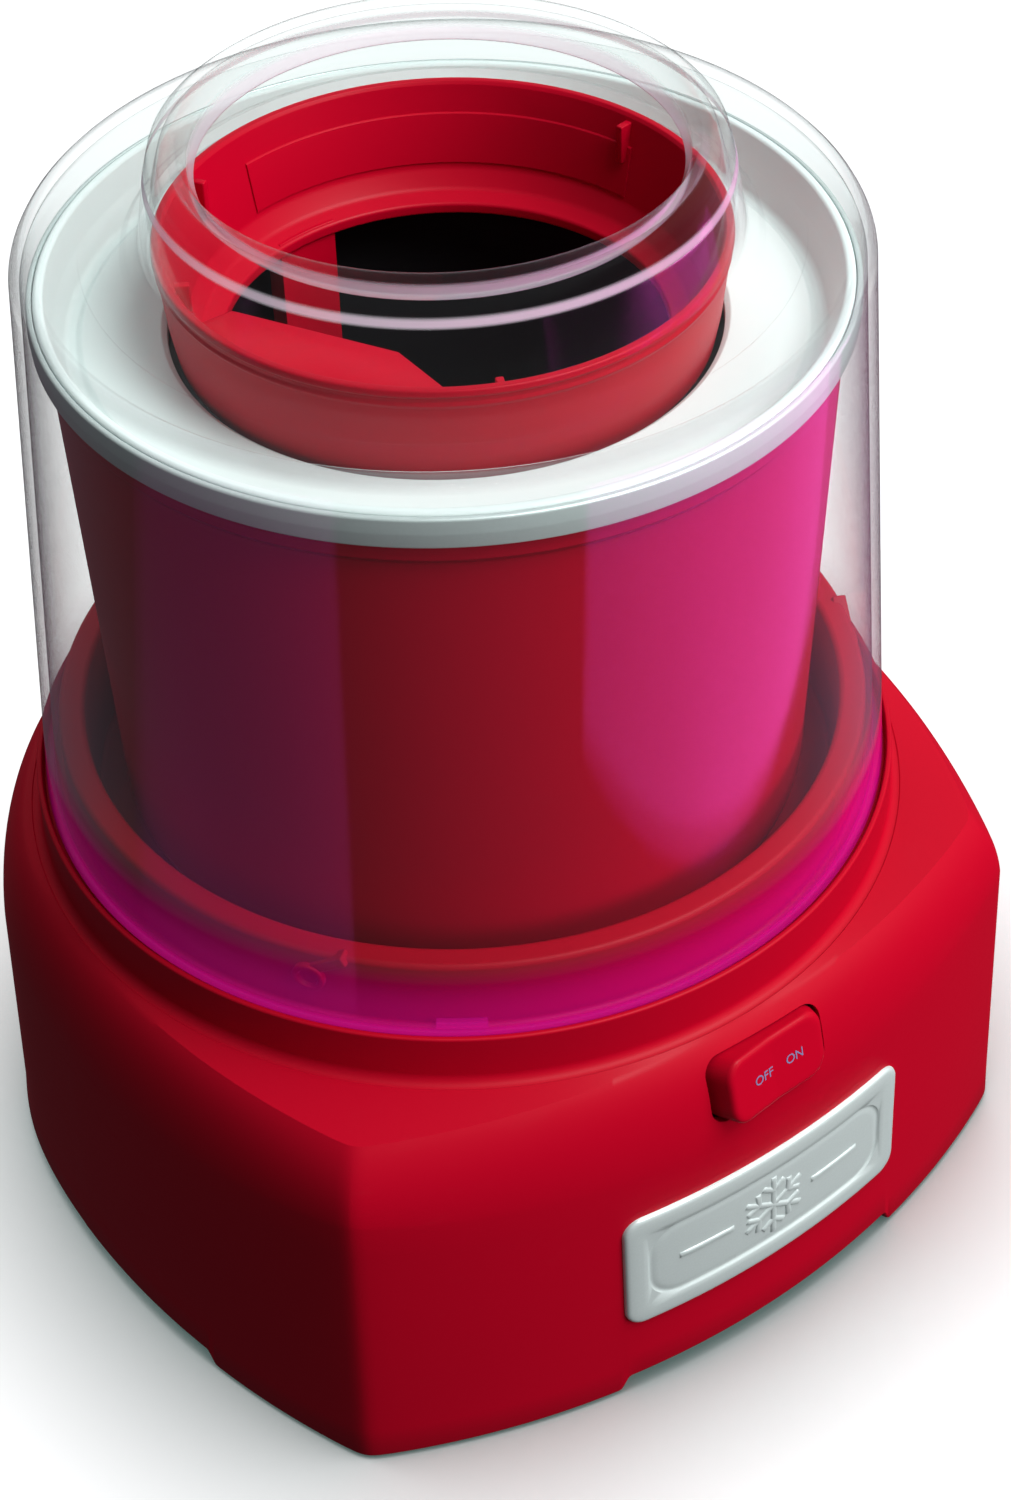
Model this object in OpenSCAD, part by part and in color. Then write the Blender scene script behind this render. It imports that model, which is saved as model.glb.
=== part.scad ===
// Counter-top ice cream maker: squarish motor base, double-walled freezer bowl, paddle and clear lid.
// Millimetres, +Z up. The origin is on the bowl's axis, at the height of the surface the feet stand on.

/* [Base] */
// Distance from the axis to the middle of each side
half_width = 124; // [118:1:130]
// Radius of each bowed side
side_r = 225; // [180:5:300]
// How far the walls lean inwards from the floor to the shoulder
draft = 4; // [1:0.5:6]
// Height of the soft shoulder line in the middle of a side
shoulder_mid_z = 75; // [65:1:80]
// How much higher the shoulder line is at a corner
shoulder_rise = 10; // [0:1:16]
// Height of the base's flat top
top_z = 103; // [100:1:105]
// Thickness of the moulded walls
wall = 2.5; // [2:0.1:3]
// Sideways offset of the plate, the rocker and the front finger notch
front_shift = 6; // [0:1:8]

/* [Bowl and lid] */
// Outer radius of the bowl's metal band
band_r = 91.5; // [90:0.1:91.8]
// Height of the top of the bowl's rim
rim_z = 252; // [250:0.5:253]
// Radius of the lid at its lower edge
lid_foot_r = 105; // [104.5:0.1:105.2]
// Radius of the lid where its side meets the top
lid_top_r = 93.8; // [93.5:0.1:95]
// Height of the whole machine, at the crown of the spout
overall_h = 286; // [284:1:290]
// Radius of the pouring hole in the spout
pour_r = 52; // [48:1:54]

/* [Drive] */
// Radius of the drive shaft
shaft_r = 5; // [4:0.5:6]
// Radial clearance of everything that turns in a bush
run_gap = 0.05; // [0.02:0.01:0.09]
// How far the rocker tilts between its two positions, in degrees
rocker_tilt = 12.5; // [8:0.5:14]

/* [Hidden] */
$fn = 96;

// Colours
RED = [0.72, 0.01, 0.07];
DARK = [0.13, 0.13, 0.14];
STEEL = [0.72, 0.73, 0.75];
PALE = [0.86, 0.89, 0.88];

// Plan of the base: four bowed sides, and a round back that takes the rear corners off
side_c = side_r - half_width;
rear_r = 126.2;
rear_c = half_width - rear_r;
corner_r = plan_r(225, 0);
steps = 72;

function ray(a, cx, cy, r) =
  let (u = cx * cos(a) + cy * sin(a)) u + sqrt(u * u - cx * cx - cy * cy + r * r);
function plan_r(a, inset) = min(
  ray(a, side_c, 0, side_r - inset),
  ray(a, -side_c, 0, side_r - inset),
  ray(a, 0, side_c, side_r - inset),
  sin(a) > 0 ? ray(a, 0, rear_c, rear_r - inset) : 2 * half_width);
// 0 in the middle of a side, 1 at a sharp corner
function cornering(a) = max(0, min(1, (plan_r(a, 0) - half_width) / (corner_r - half_width)));
function shoulder_z(a) = shoulder_mid_z + shoulder_rise * cornering(a);

// Base heights
skirt_z = 1;
notch_z = 5.5;
notch_half = 43;
ridge_inset = 13;
deck_r = 108.5;
plate_z = 6;
plate_t = 2.5;
deck_top = 105;
deck_low = 102;

// The skirt's section at angle a, outside first and then the inside, as [radius, height]
band_steps = 5;
function band_point(a, i, inset, drop) =
  let (t = 90 * i / band_steps)
  [plan_r(a, ridge_inset + inset - (ridge_inset - draft) * cos(t)),
    shoulder_z(a) + (top_z - drop - shoulder_z(a)) * sin(t)];
function skirt_outer(a) = concat(
  [[plan_r(a, 0), skirt_z], [plan_r(a, draft / 2), shoulder_z(a) / 2]],
  [for (i = [0:band_steps]) band_point(a, i, 0, 0)],
  [[deck_r, top_z + 0.6]]);
function skirt_inner(a) = concat(
  [[deck_r, top_z - wall + 0.4]],
  [for (i = [band_steps:-1:0]) band_point(a, i, wall, wall)],
  [[plan_r(a, draft / 2 + wall), shoulder_z(a) / 2], [plan_r(a, wall), skirt_z]]);
function skirt_section(a) = concat(skirt_outer(a), skirt_inner(a));

// Sloping frame of the rocker: x across, z up the slope, -y out of the face
switch_y = -118.1;
switch_z = 91.4;
switch_slope = 15.4;
rocker_h = 18;
rocker_round = 5;
rocker_end_r = 16.75;
rocker_gap = 0.35;
pivot_depth = 6.1;
switch_face = 6.4;
switch_half_w = rocker_end_r + 2.5;
switch_half_h = rocker_h / 2 + 1.2;
bearing_face = 5.7;
pin_reach = 0.7;
pocket_face = 4.3;
pocket_play = 0.4;
pin_r = 1.5;

// Cord's way out in the rear wall
cord_z = 22;
cord_y = half_width - draft * cord_z / shoulder_mid_z;

// Nameplate
badge_w = 85;
badge_h = 37.4;
badge_z = 44.5;
badge_lean = 2.6;
badge_round = 5;
badge_out = 1.3;
badge_in = 1.6;
badge_inset = 2;
badge_play = 0.1;
panel_rim = 7;
panel_round = 9;
panel_depth = 0.7;

// Drive train
output_teeth = 60;
idler_pinion_teeth = 12;
output_module = 1.25;
idler_teeth = 50;
motor_teeth = 10;
motor_module = 0.8;
stage_b = output_module * (output_teeth + idler_pinion_teeth) / 2;
stage_a = motor_module * (idler_teeth + motor_teeth) / 2;
idler_dir = 135;
idler_at = [stage_b * cos(idler_dir), stage_b * sin(idler_dir), 0];
motor_at = idler_at - [0, stage_a, 0];
frame_z = 58;
frame_t = 2;
layer_a = 62;
layer_b = 70;
shaft_low = 50;
shaft_top = 116;
boss_low = 97;
boss_top = 107;

// Bowl heights
bowl_low = 108;
hub_low = 109.3;
hub_shelf = 112;
hub_top = 120;
socket_gap = 0.3;
cap_z = 240;
shelf_low = 237;
shelf_top = 249;

// Where things stand, as [x, y]
foot_r = 9;
foot_chamfer = 1;
front_feet = 84;
rear_feet = 76;
foot_spots = [
  [-front_feet, -front_feet], [front_feet, -front_feet], [-rear_feet, rear_feet], [rear_feet, rear_feet]];
screw_spots = [[-78, -56], [78, -56], [-78, 56], [78, 56]];
post_spots = [[-62, -40], [62, -40], [-62, 62], [62, 40]];
lug_angles = [-144, -24, 96];
lug_r = 101.2;
lug_z = 125.3;
lug_boss_r = 4;
lug_rise = 30;

// Shared shapes

module tube(outer, inner, low, high) {
  translate([0, 0, low])
    difference() {
      cylinder(h = high - low, r = outer);
      translate([0, 0, -1]) cylinder(h = high - low + 2, r = inner);
    }
}

module rod(r, low, high) {
  translate([0, 0, low]) cylinder(h = high - low, r = r);
}

module block(low, high) {
  translate(low) cube(high - low);
}

module rounded_rect(w, h, r) {
  square([w - 2 * r, h], center = true);
  square([w, h - 2 * r], center = true);
  for (sx = [-1, 1], sy = [-1, 1])
    translate([sx * (w / 2 - r), sy * (h / 2 - r)]) circle(r = r, $fn = 48);
}

module plan(inset) {
  intersection() {
    translate([side_c, 0]) circle(r = side_r - inset, $fn = 180);
    translate([-side_c, 0]) circle(r = side_r - inset, $fn = 180);
    translate([0, side_c]) circle(r = side_r - inset, $fn = 180);
    union() {
      translate([0, rear_c]) circle(r = rear_r - inset, $fn = 180);
      translate([-side_r, -side_r]) square([2 * side_r, side_r]);
    }
  }
}

// Frame of the cord's way out, +Z pointing out of the leaning rear wall
module cord_frame() {
  translate([0, cord_y, cord_z]) rotate([atan(draft / shoulder_mid_z) - 90, 0, 0]) children();
}

module switch_frame() {
  translate([front_shift, switch_y, switch_z]) rotate([-switch_slope, 0, 0]) children();
}

// Involute spur gear outline; tooth 0 is centred on +x
pressure = 20;
function inv_point(base, t) =
  let (arc = t * PI / 180) [base * (cos(t) + arc * sin(t)), base * (sin(t) - arc * cos(t))];
function turn(p, a) = [p[0] * cos(a) - p[1] * sin(a), p[0] * sin(a) + p[1] * cos(a)];
function roll_at(base, r) = r <= base ? 0 : sqrt(pow(r / base, 2) - 1) * 180 / PI;
function inv_angle(base, r) = let (p = inv_point(base, roll_at(base, r))) atan2(p[1], p[0]);

module gear_outline(teeth, mod, addendum, thin = 0.86) {
  pitch = mod * teeth / 2;
  base = pitch * cos(pressure);
  tip = pitch + addendum * mod;
  root = pitch - 1.2 * mod;
  half = 90 / teeth * thin + inv_angle(base, pitch);
  flank_steps = 4;
  flank = concat(
    [[min(root, base), 0]],
    [for (i = [0:flank_steps])
      let (r = max(base, root) + (tip - max(base, root)) * i / flank_steps)
      inv_point(base, roll_at(base, r))]);
  tooth = concat(
    [for (p = flank) turn(p, -half)],
    [for (i = [len(flank) - 1:-1:0]) turn([flank[i][0], -flank[i][1]], half)]);
  polygon([for (k = [0:teeth - 1]) for (p = tooth) turn(p, 360 * k / teeth)]);
}

module gear(teeth, mod, addendum, low, high) {
  translate([0, 0, low]) linear_extrude(high - low) gear_outline(teeth, mod, addendum);
}

// Base, fixed pieces

module skirt() {
  sections = [for (k = [0:steps - 1]) skirt_section(360 * k / steps)];
  n = len(sections[0]);
  points = [for (k = [0:steps - 1]) for (p = sections[k])
    [p[0] * cos(360 * k / steps), p[0] * sin(360 * k / steps), p[1]]];
  faces = [for (k = [0:steps - 1]) for (i = [0:n - 1])
    let (k2 = (k + 1) % steps, i2 = (i + 1) % n)
    for (f = [[k * n + i, k * n + i2, k2 * n + i2], [k * n + i, k2 * n + i2, k2 * n + i]]) f];
  polyhedron(points, faces, convexity = 6);
}

// Plinth, lid ledge, hollow locating ring and the deck under the bowl
module deck() {
  rotate_extrude($fn = 180)
    polygon([
      [109.2, 101.6], [109.2, 104.2], [108, 105.2], [107.4, 107], [107.2, 117], [105.9, 117],
      [105.4, 114.4], [99.9, 114.4], [99.7, 131.6], [98.5, 133], [94.6, 133], [93.2, 131.6],
      [93, 106], [92.1, deck_top], [20, deck_top], [19, boss_top], [8, boss_top], [8, boss_low],
      [17, boss_low], [17, deck_low], [95.2, deck_low], [95.2, 130.8], [97.5, 130.8],
      [97.6, 112], [104.9, 112], [104.9, 101.6]]);
}

module base_housing() {
  color(RED)
    difference() {
      union() {
        skirt();
        deck();
        for (p = screw_spots) translate([p[0], p[1], 0]) rod(5, plate_z + plate_t, deck_low + 1);
        for (p = post_spots) translate([p[0], p[1], 0]) rod(4.5, frame_z + frame_t, deck_low + 1);
        for (a = lug_angles) rotate(a) lock_lug();
      }
      for (p = screw_spots) translate([p[0], p[1], 0]) rod(2, 0, 24);
      for (p = post_spots) translate([p[0], p[1], 0]) rod(1.75, 50, 74);
      block([front_shift - notch_half, -200, -1], [front_shift + notch_half, 0, notch_z]);
      block([-notch_half, 0, -1], [notch_half, 200, notch_z]);
      block([-200, -55, -1], [200, 50, notch_z]);
      switch_frame() {
        translate([0, 8, 0]) rotate([90, 0, 0])
          linear_extrude(24)
            rounded_rect(2 * (rocker_end_r + rocker_gap), rocker_h + 2 * rocker_gap, rocker_round - 1.5);
        block([-switch_half_w - pocket_play, pocket_face, -switch_half_h - pocket_play],
          [switch_half_w + pocket_play, 20, switch_half_h + pocket_play]);
      }
      front_slab(-badge_in - badge_play, badge_out,
        badge_w + 2 * badge_play, badge_h + 2 * badge_play, badge_round);
      cord_frame() rod(6, -12, 8);
    }
}

// A round boss on the locating ring, and a web that rises from it to the ring's rim
module lock_lug() {
  difference() {
    intersection() {
      union() {
        translate([0, 0, lug_z]) rotate([0, 90, 0]) rod(lug_boss_r, 98.6, 110);
        translate([0, 0, lug_z]) rotate([lug_rise, 0, 0]) block([98.6, 0, 0.5], [110, 12, 3.5]);
      }
      rod(lug_r, 110, 132.5);
    }
    translate([0, 0, lug_z]) rotate([0, 90, 0]) rod(lug_boss_r - 1.8, lug_r - 1, 110);
  }
}

// A slab bent to the front wall between two depths, with rounded corners
module front_slab(low, high, w, h, r) {
  translate([front_shift, 0, badge_z]) rotate([-badge_lean, 0, 0])
    intersection() {
      translate([-front_shift, side_c, 0])
        tube(side_r - badge_inset + high, side_r - badge_inset + low, -badge_h, badge_h, $fn = 180);
      translate([0, -90, 0]) rotate([90, 0, 0]) linear_extrude(60) rounded_rect(w, h, r);
    }
}

module nameplate() {
  color(STEEL)
    difference() {
      front_slab(-badge_in, badge_out, badge_w, badge_h, badge_round);
      front_slab(badge_out - panel_depth, 9, badge_w - 2 * panel_rim, badge_h - 2 * panel_rim, panel_round);
    }
}

module bottom_plate() {
  color(DARK)
    difference() {
      translate([0, 0, plate_z]) linear_extrude(plate_t) plan(wall + 0.8);
      for (p = screw_spots) translate([p[0], p[1], 0]) rod(2.2, 0, 20);
      for (p = foot_spots) translate([p[0], p[1], 0]) rod(3, 0, 20);
      for (i = [-4:4]) block([40, i * 7 - 1.5, 0], [62, i * 7 + 1.5, 20]);
    }
}

module rubber_feet() {
  color([0.08, 0.08, 0.08])
    for (p = foot_spots) translate([p[0], p[1], 0]) {
      rod(foot_r, foot_chamfer, plate_z);
      cylinder(h = foot_chamfer, r1 = foot_r - foot_chamfer, r2 = foot_r);
      rod(3, plate_z - 0.5, plate_z + plate_t + 1.5);
      translate([0, 0, plate_z + plate_t]) cylinder(h = 1.5, r1 = 4, r2 = 3.2);
    }
}

// A pan-headed screw pointing up, its head's underside at height seat
module screw(spot, seat, head_r, head_h, shank_r, shank_h) {
  translate([spot[0], spot[1], seat]) {
    difference() {
      translate([0, 0, -head_h]) cylinder(h = head_h, r = head_r);
      for (a = [0, 90]) rotate(a)
        translate([-head_r * 0.6, -0.5, -head_h - 0.1]) cube([head_r * 1.2, 1, head_h * 0.5]);
    }
    cylinder(h = shank_h, r = shank_r);
  }
}

module bottom_screws() {
  color(STEEL) for (p = screw_spots) screw(p, plate_z, 4, 2.2, 2, 16);
}

module gearbox_screws() {
  color(STEEL) for (p = post_spots) screw(p, frame_z, 3.6, 2, 1.75, 14);
}

module cord_grommet() {
  color(DARK)
    cord_frame() {
      tube(8.5, 3.4, 0.1, 1.4);
      tube(5.9, 3.4, -5.4, 0.2);
      tube(7.6, 3.4, -5.5, -3);
    }
}

module gearbox_plate() {
  color(STEEL)
    difference() {
      translate([0, 11, frame_z]) linear_extrude(frame_t) rounded_rect(138, 116, 8);
      rod(8, 50, 70);
      translate(idler_at) rod(3, 50, 70);
      translate(motor_at) rod(6.5, 50, 70);
      for (p = post_spots) translate([p[0], p[1], 0]) rod(1.9, 50, 70);
    }
}

// Motor, drawn about its own axis with the coil on the -y side

module motor_core() {
  color([0.45, 0.46, 0.48])
    translate(motor_at) rotate(180)
      difference() {
        block([-22, -22, 30], [22, 52, 50]);
        rod(13.5, 20, 60);
        block([-12, 20, 20], [12, 38, 60]);
      }
}

module motor_coil() {
  color([0.62, 0.32, 0.12])
    translate(motor_at) rotate(180)
      difference() {
        block([-11, 29, 24], [11, 61, 56]);
        block([-12, 37.8, 29.8], [12, 52.2, 50.2]);
      }
}

module motor_bracket() {
  color(STEEL)
    translate(motor_at)
      for (s = [[56, 50], [22, 30]]) {
        low = min(s[0], s[0] + 2);
        difference() {
          block([-21, -8, low], [21, 8, low + 2]);
          rod(5, 0, 70);
        }
        for (x = [-21, 18.5])
          block([x, -8, min(low + 2, s[1])], [x + 2.5, 8, max(low, s[1])]);
      }
}

module motor_bushes() {
  color([0.76, 0.58, 0.3])
    translate(motor_at) {
      tube(5, 2.5 + run_gap, 53, 59);
      tube(5, 2.5 + run_gap, 20, 26);
    }
}

module motor_rotor() {
  color([0.3, 0.3, 0.33]) translate(motor_at) tube(13, 2.5, 31, 49);
}

module motor_shaft() {
  color(STEEL) translate(motor_at) rod(2.5, 18, 70);
}

module motor_pinion() {
  color([0.76, 0.58, 0.3])
    translate(motor_at)
      difference() {
        rotate(90 + 180 / motor_teeth) gear(motor_teeth, motor_module, 0.9, layer_a - 1, layer_a + 7);
        rod(2.5, 50, 90);
      }
}

module idler_axle() {
  color(STEEL) translate(idler_at) {
    rod(3, frame_z - 1, layer_b + 13);
    rod(4.5, frame_z + frame_t, layer_a - 0.5);
  }
}

module idler_gear() {
  color([0.9, 0.88, 0.8])
    translate(idler_at)
      difference() {
        union() {
          rotate(-90) gear(idler_teeth, motor_module, 0.7, layer_a, layer_a + 6);
          rotate(idler_dir + 180 + 180 / idler_pinion_teeth)
            gear(idler_pinion_teeth, output_module, 0.9, layer_a + 5, layer_b + 10.5);
        }
        rod(3 + run_gap, 50, 100);
      }
}

module output_gear() {
  color([0.9, 0.88, 0.8])
    difference() {
      union() {
        rotate(idler_dir) gear(output_teeth, output_module, 0.7, layer_b, layer_b + 10);
        rod(12, layer_a - 0.5, layer_b + 14);
      }
      rod(shaft_r, 40, 100);
      for (a = [0:60:300]) rotate(a) translate([23.5, 0, 0]) rod(6, 60, 90);
    }
}

module drive_shaft() {
  color(STEEL)
    difference() {
      rod(shaft_r, shaft_low, shaft_top);
      tube(shaft_r + 1, shaft_r - 0.8, shaft_low + 3, shaft_low + 4);
    }
}

module shaft_bushes() {
  color([0.76, 0.58, 0.3]) {
    tube(8, shaft_r + run_gap, boss_low - 0.5, boss_top);
    tube(8, shaft_r + run_gap, frame_z - 2, layer_a - 1.5);
    tube(10.5, 7.99, frame_z + frame_t, layer_a - 1);
  }
}

module retaining_clip() {
  color(STEEL)
    difference() {
      tube(8, shaft_r - 0.8, shaft_low + 3.1, shaft_low + 3.9);
      block([-2, 0, 0], [2, 20, 100]);
    }
}

module splash_seal() {
  color(DARK) tube(9.5, shaft_r + 0.3, boss_top, boss_top + 1.8);
}

module cross_bar(reach, width, low, high) {
  for (a = [0, 90]) rotate(a) block([-reach, -width / 2, low], [reach, width / 2, high]);
}

module drive_hub() {
  color(RED)
    difference() {
      union() {
        rod(16, hub_low, hub_shelf);
        rod(8, hub_low, hub_top);
        cross_bar(14, 6, hub_low + 1, hub_top);
      }
      rod(shaft_r, 90, shaft_top);
    }
}

module switch_body() {
  color(DARK)
    switch_frame()
      difference() {
        union() {
          block([-switch_half_w, switch_face, -switch_half_h], [switch_half_w, 16, switch_half_h]);
          block([-5, bearing_face, -switch_half_h], [5, switch_face + 1, switch_half_h]);
          for (x = [-12, -1.5, 9]) block([x, 15, -2.5], [x + 3, 22, 2.5]);
        }
        block([-rocker_end_r - 0.6, 0, -rocker_h / 2 - 0.4], [rocker_end_r + 0.6, 13, rocker_h / 2 + 0.4]);
        translate([0, pivot_depth, -20]) cylinder(h = 40, r = pin_r + run_gap);
      }
}

module switch_rocker() {
  color(RED)
    switch_frame() {
      intersection() {
        translate([0, pivot_depth, -rocker_h / 2]) linear_extrude(rocker_h)
          intersection() {
            circle(r = rocker_end_r);
            polygon([[-20, -10.4], [0, -7.4], [20, -6.2], [20, 1], [8, 4.5], [-8, 4.5], [-20, 1]]);
          }
        translate([0, 20, 0]) rotate([90, 0, 0])
          linear_extrude(40) rounded_rect(2 * rocker_end_r + 0.1, rocker_h, rocker_round);
      }
      translate([0, pivot_depth, -rocker_h / 2 - pin_reach])
        cylinder(h = rocker_h + 2 * pin_reach, r = pin_r);
    }
}

// Bowl

module bowl_shell() {
  color(RED)
    rotate_extrude($fn = 180)
      polygon(concat(
        [[22, bowl_low], [66, bowl_low]],
        [for (t = [-75:15:0]) [68 + 17 * cos(t), bowl_low + 18 + 18 * sin(t)]],
        [[88, 235], [88.2, 238], [89.6, 240], [89.6, 243.6], [86.4, 243.6], [86, 235]],
        [for (t = [0:-15:-75]) [68 + 15 * cos(t), bowl_low + 18 + 16 * sin(t)]],
        [[66, bowl_low + 2], [22, bowl_low + 2]]));
}

module bowl_tub() {
  color([0.5, 0.5, 0.52])
    rotate_extrude($fn = 180)
      polygon(concat(
        [[0, 128], [46, 128]],
        [for (t = [-75:15:0]) [46.6 + 12 * cos(t), 140 + 12 * sin(t)]],
        [[62.8, 233.5], [65.5, 233.5], [65.5, 235], [61.4, 235]],
        [for (t = [0:-15:-75]) [46.6 + 10.5 * cos(t), 140 + 10.5 * sin(t)]],
        [[46, 129.5], [0, 129.5]]));
}

module bowl_coolant() {
  color([0.3, 0.5, 0.75])
    rotate_extrude($fn = 120)
      polygon(concat(
        [[24, 111], [66, 111]],
        [for (t = [-75:15:0]) [67.6 + 14.6 * cos(t), bowl_low + 18.4 + 15 * sin(t)]],
        [[85, 228], [63.4, 228]],
        [for (t = [0:-15:-75]) [46.6 + 12.6 * cos(t), 139.6 + 12.6 * sin(t)]],
        [[46, 126.6], [24, 126.6]]));
}

// Pale top ring with a soft groove, and the raised rim
module bowl_cap() {
  color(PALE)
    rotate_extrude($fn = 180)
      polygon([
        [61.6, 236.6], [68, 236.6], [68, 235.4], [85.8, 235.4], [85.8, 243.8], [89.8, 243.8],
        [89.8, 251], [89.2, rim_z], [88, rim_z], [87, 250.6], [86.2, 244], [85, 240.4], [83.6, 239.2],
        [82, 239.2], [80.4, 240.2], [62, cap_z], [61.6, 239.4]]);
}

module bowl_band() {
  color(STEEL) tube(band_r, 89.8, 244.5, 251.5);
}

module bowl_gasket() {
  color(DARK) tube(67.6, 61.8, 235, 236.6);
}

module bowl_socket() {
  color(DARK)
    difference() {
      rod(22, bowl_low + 0.6, 123);
      rod(16.6, 90, hub_shelf + socket_gap);
      rod(8.5, 90, hub_top + socket_gap);
      cross_bar(14.5, 6.8, 90, hub_top + socket_gap);
    }
}

// Paddle and lid

module mixing_paddle() {
  color(RED) {
    rotate_extrude($fn = 180)
      polygon([
        [50, 233.6], [50.4, 236], [54, 237.6], [56.6, 240.6], [57.6, 246], [60.8, 261.4],
        [61.6, 262], [62.8, 262], [63.3, 261.2], [63.1, 259.6], [62.5, 258.4], [60.7, 243],
        [59.8, 237], [56.5, 233.4]]);
    // two scrapers that reach the floor, and a wide short one at the front left
    for (a = [-97, 97]) scraper(a, 9, [
      [44, 131], [47.5, 131], [50.5, 131.4], [52.8, 132.9], [54.2, 135], [54.8, 138], [54.8, 237],
      [50.5, 237], [50.5, 139], [49.6, 136.2], [47.4, 134.4], [44, 134]]);
    scraper(-137, 24, [[50.5, 190], [55, 190], [55, 237], [50.5, 237]]);
    // flat head of the wide scraper, filling the front left of the ring
    intersection() {
      translate([0, 0, shelf_low]) linear_extrude(shelf_top - shelf_low)
        polygon([[-70, 22], [-45.5, 15], [-24.6, -20], [-24, -36], [-30, -70], [-70, -70]]);
      rod(58, 230, 260);
    }
    // mixing vanes across the floor
    for (a = [97, -97]) rotate(a) block([3, -5, 131], [46, 5, 134]);
    block([-7, -12, 131], [7, 12, 134]);
    for (r = [18, 34]) for (a = [97, -97]) rotate(a)
      block([r, -1.2, 131], [r + 10, 1.2, 160]);
    for (a = [32, 152, 272]) rotate(a) block([55.5, -1, 240], [59, 1, 252]);
  }
}

// Part of a ring of this outline, half degrees to each side of its centre
module scraper(centre, half, outline) {
  rotate(centre - half) rotate_extrude(angle = 2 * half, $fn = 180) polygon(outline);
}

module lid() {
  color([0.85, 0.9, 0.89, 0.3]) {
    rotate_extrude($fn = 180)
      polygon([
        [lid_foot_r - 2, 115], [lid_foot_r, 115], [lid_top_r, 258], [93, 260.4], [91, 262],
        [89.2, 262], [88, 260.6], [70, 260.6], [68.4, 262], [65.6, 262.2], [63.2, 277],
        [61.5, 283], [58.5, overall_h], [56.5, overall_h - 0.6], [pour_r + 1.6, 280.6],
        [pour_r, 277.4], [pour_r + 1.4, 277], [pour_r + 3.2, 279.4], [57.6, 283.2], [59, 282.6],
        [61.2, 276.4], [63.9, 260.2], [67, 258.6], [88.6, 258.6], [90.6, 258.8],
        [lid_top_r - 2, 256]]);
    for (a = lug_angles) rotate(a + 20)
      intersection() {
        tube(lid_foot_r - 0.8, 100.5, 115.4, 117.6);
        block([90, -6, 115], [110, 6, 118]);
      }
  }
}

base_housing();
bottom_plate();
rubber_feet();
bottom_screws();
nameplate();
switch_body();
switch_rocker();
cord_grommet();
gearbox_plate();
gearbox_screws();
motor_core();
motor_coil();
motor_bracket();
motor_bushes();
motor_rotor();
motor_shaft();
motor_pinion();
idler_axle();
idler_gear();
output_gear();
drive_shaft();
shaft_bushes();
retaining_clip();
splash_seal();
drive_hub();
bowl_shell();
bowl_tub();
bowl_coolant();
bowl_cap();
bowl_band();
bowl_gasket();
bowl_socket();
mixing_paddle();
lid();
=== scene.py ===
from math import atan2, ceil, cos, degrees, exp, log, pi, radians, sin, sqrt, tan

import bmesh
import bpy
from bpy.props import BoolProperty, FloatProperty, FloatVectorProperty, PointerProperty
from mathutils import Matrix, Vector


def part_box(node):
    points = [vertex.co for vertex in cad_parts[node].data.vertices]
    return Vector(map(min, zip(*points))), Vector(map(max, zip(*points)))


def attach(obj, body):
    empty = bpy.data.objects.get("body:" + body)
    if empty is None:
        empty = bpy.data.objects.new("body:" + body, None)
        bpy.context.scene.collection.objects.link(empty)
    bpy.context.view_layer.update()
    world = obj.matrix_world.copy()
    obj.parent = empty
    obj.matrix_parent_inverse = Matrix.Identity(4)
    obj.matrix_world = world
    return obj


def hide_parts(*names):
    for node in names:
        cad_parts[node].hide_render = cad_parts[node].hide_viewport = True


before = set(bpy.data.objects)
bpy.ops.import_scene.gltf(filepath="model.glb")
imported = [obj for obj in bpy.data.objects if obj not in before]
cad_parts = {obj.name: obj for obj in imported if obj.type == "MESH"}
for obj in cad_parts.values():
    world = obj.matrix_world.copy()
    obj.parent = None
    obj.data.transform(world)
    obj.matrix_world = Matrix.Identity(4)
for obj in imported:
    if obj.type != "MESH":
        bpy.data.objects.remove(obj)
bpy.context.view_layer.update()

bl_info = {
    "name": "Ice Cream Maker",
    "version": (1, 0, 0),
    "blender": (4, 5, 0),
    "location": "View3D > Sidebar > Ice Cream Maker",
    "description": "Builds the looks of a counter-top ice cream maker round its fixed CAD frame",
    "category": "Add Mesh",
}

MM = 0.001


def top_of(node):
    """Highest point of a CAD node, in metres."""
    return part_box(node)[1].z


def reach_of(node):
    """Largest x of a CAD node, in metres: the outer radius of a round one."""
    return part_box(node)[1].x


# ---------------------------------------------------------------- settings


def a_length(name, description, default):
    return FloatProperty(
        name=name, description=description, default=default, unit="LENGTH", subtype="DISTANCE")


def a_colour(name, description, default):
    return FloatVectorProperty(
        name=name, description=description, default=default, subtype="COLOR", size=3, min=0, max=1)


class BaseSettings(bpy.types.PropertyGroup):
    """Sizes of the motor base's shell."""

    half_width: a_length("Half width", "Axis to the middle of a side at the floor", 0.124)
    side_radius: a_length("Side bow", "Radius of each bowed side", 0.225)
    draft: a_length("Draft", "How far the walls lean in up to the shoulder", 0.004)
    shoulder: a_length("Shoulder height", "Soft shoulder line in the middle of a side", 0.075)
    shoulder_rise: a_length("Shoulder rise", "How much higher the line is at a corner", 0.010)
    front_shift: a_length("Front shift", "Sideways offset of the plate and the rocker", 0.006)
    colour: a_colour("Base red", "Colour of the base's moulding", (0.36, 0.0, 0.011))


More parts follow.
